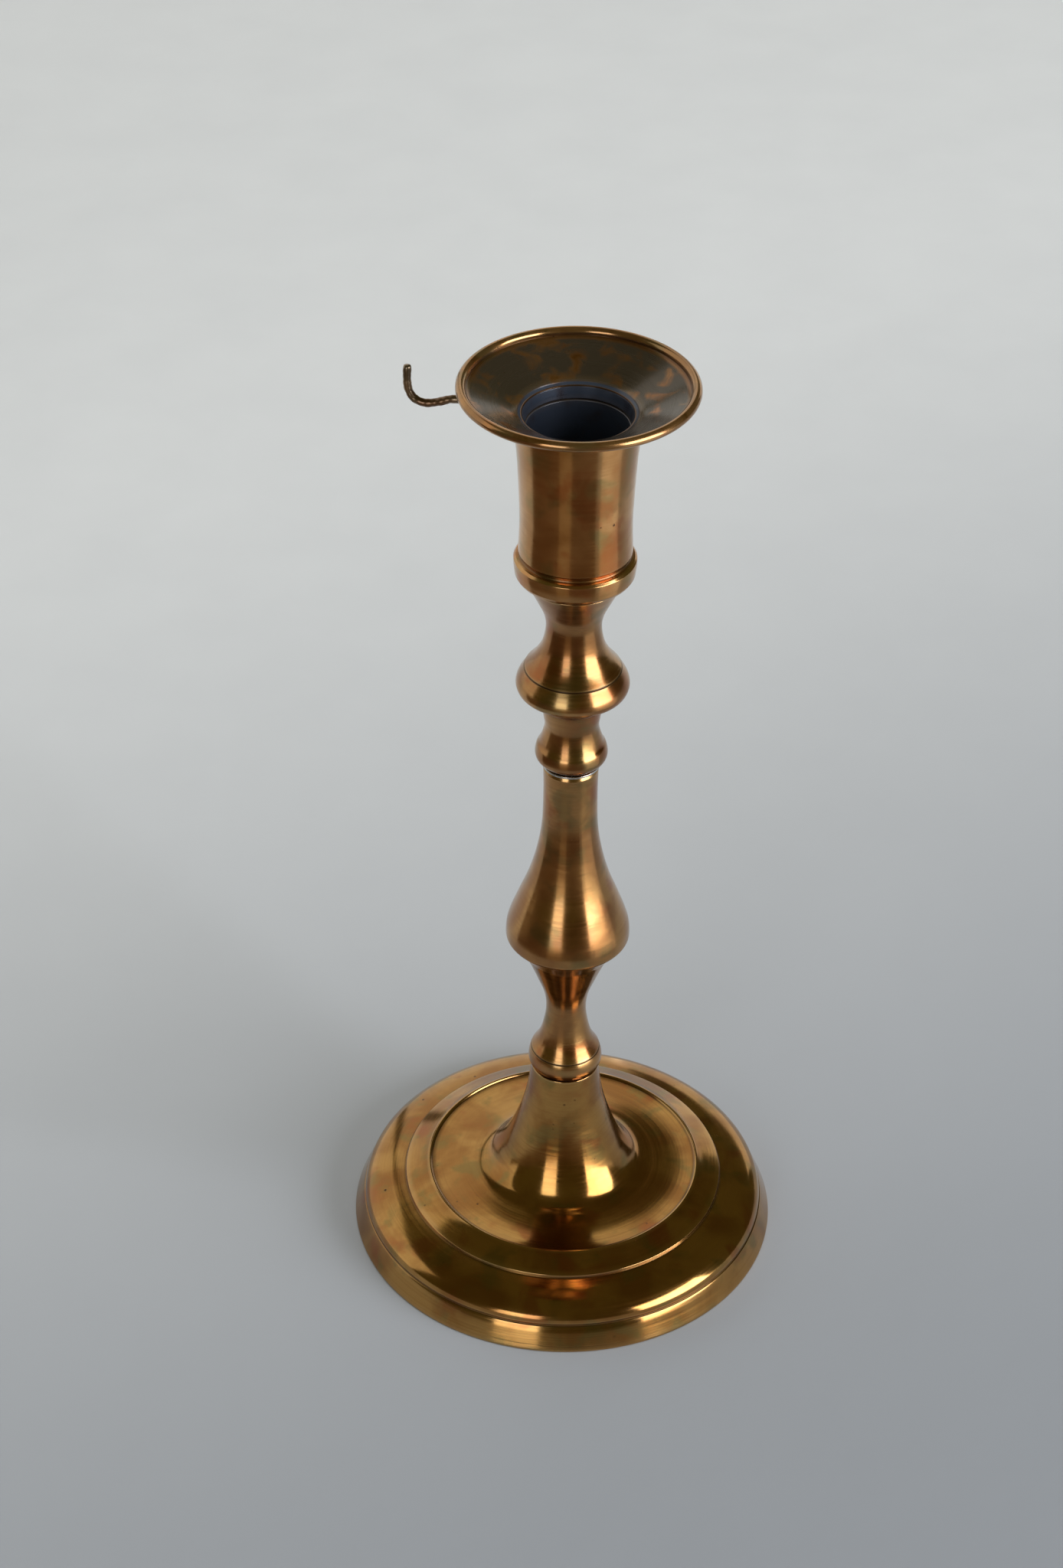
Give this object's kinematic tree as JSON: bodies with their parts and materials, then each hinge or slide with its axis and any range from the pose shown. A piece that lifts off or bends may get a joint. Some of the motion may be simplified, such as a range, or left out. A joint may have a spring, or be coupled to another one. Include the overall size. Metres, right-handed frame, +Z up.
{
  "type": "candlestick",
  "caption": "Turned candlestick: hollow round foot, knopped stem that unscrews at the middle, socket with a drip pan and a side hook.",
  "frame": {"origin": "middle of the foot's underside, on the surface that the candlestick stands on", "axes": "+Z up the stem; the snuffer hook points to -X, turned slightly towards +Y"},
  "size_m": [0.104, 0.104, 0.2355],
  "materials": {
    "foot_brass": "aged, turned, with brown patina",
    "stem_brass": "aged, lathe brushed",
    "cup_brass": "aged, lathe brushed, copper-red blotches",
    "pan_brass": "dark olive tarnish, bright worn rim",
    "wire_brass": "drawn wire, dark patina, worn tip",
    "seam_metal": "bright, plated",
    "screw_steel": "dull"
  },
  "bodies": {
    "base": {"foot": "foot_brass", "foot_screw": "screw_steel", "foot_washer": "screw_steel", "lower_stem": "stem_brass", "stem_stud": "screw_steel"},
    "seam": {"seam_washer": "seam_metal"},
    "top": {"upper_stem": "stem_brass", "cup_screw": "screw_steel", "candle_cup": "cup_brass", "drip_pan": "pan_brass", "snuffer_hook": "wire_brass"}
  },
  "joints": [
    {"name": "stem_turn", "type": "hinge", "parent": "base", "child": "seam", "pos_m": [0, 0, 0.13725], "axis": [0, 0, 1], "range_deg": [0, 3420]},
    {"name": "stem_rise", "type": "slide", "parent": "seam", "child": "top", "axis": [0, 0, 1], "range_m": [0, 0.0095]}
  ],
  "couplings": [
    {"joint": "stem_turn", "follows": "stem_rise", "rad_per_m": 6283.2}
  ]
}
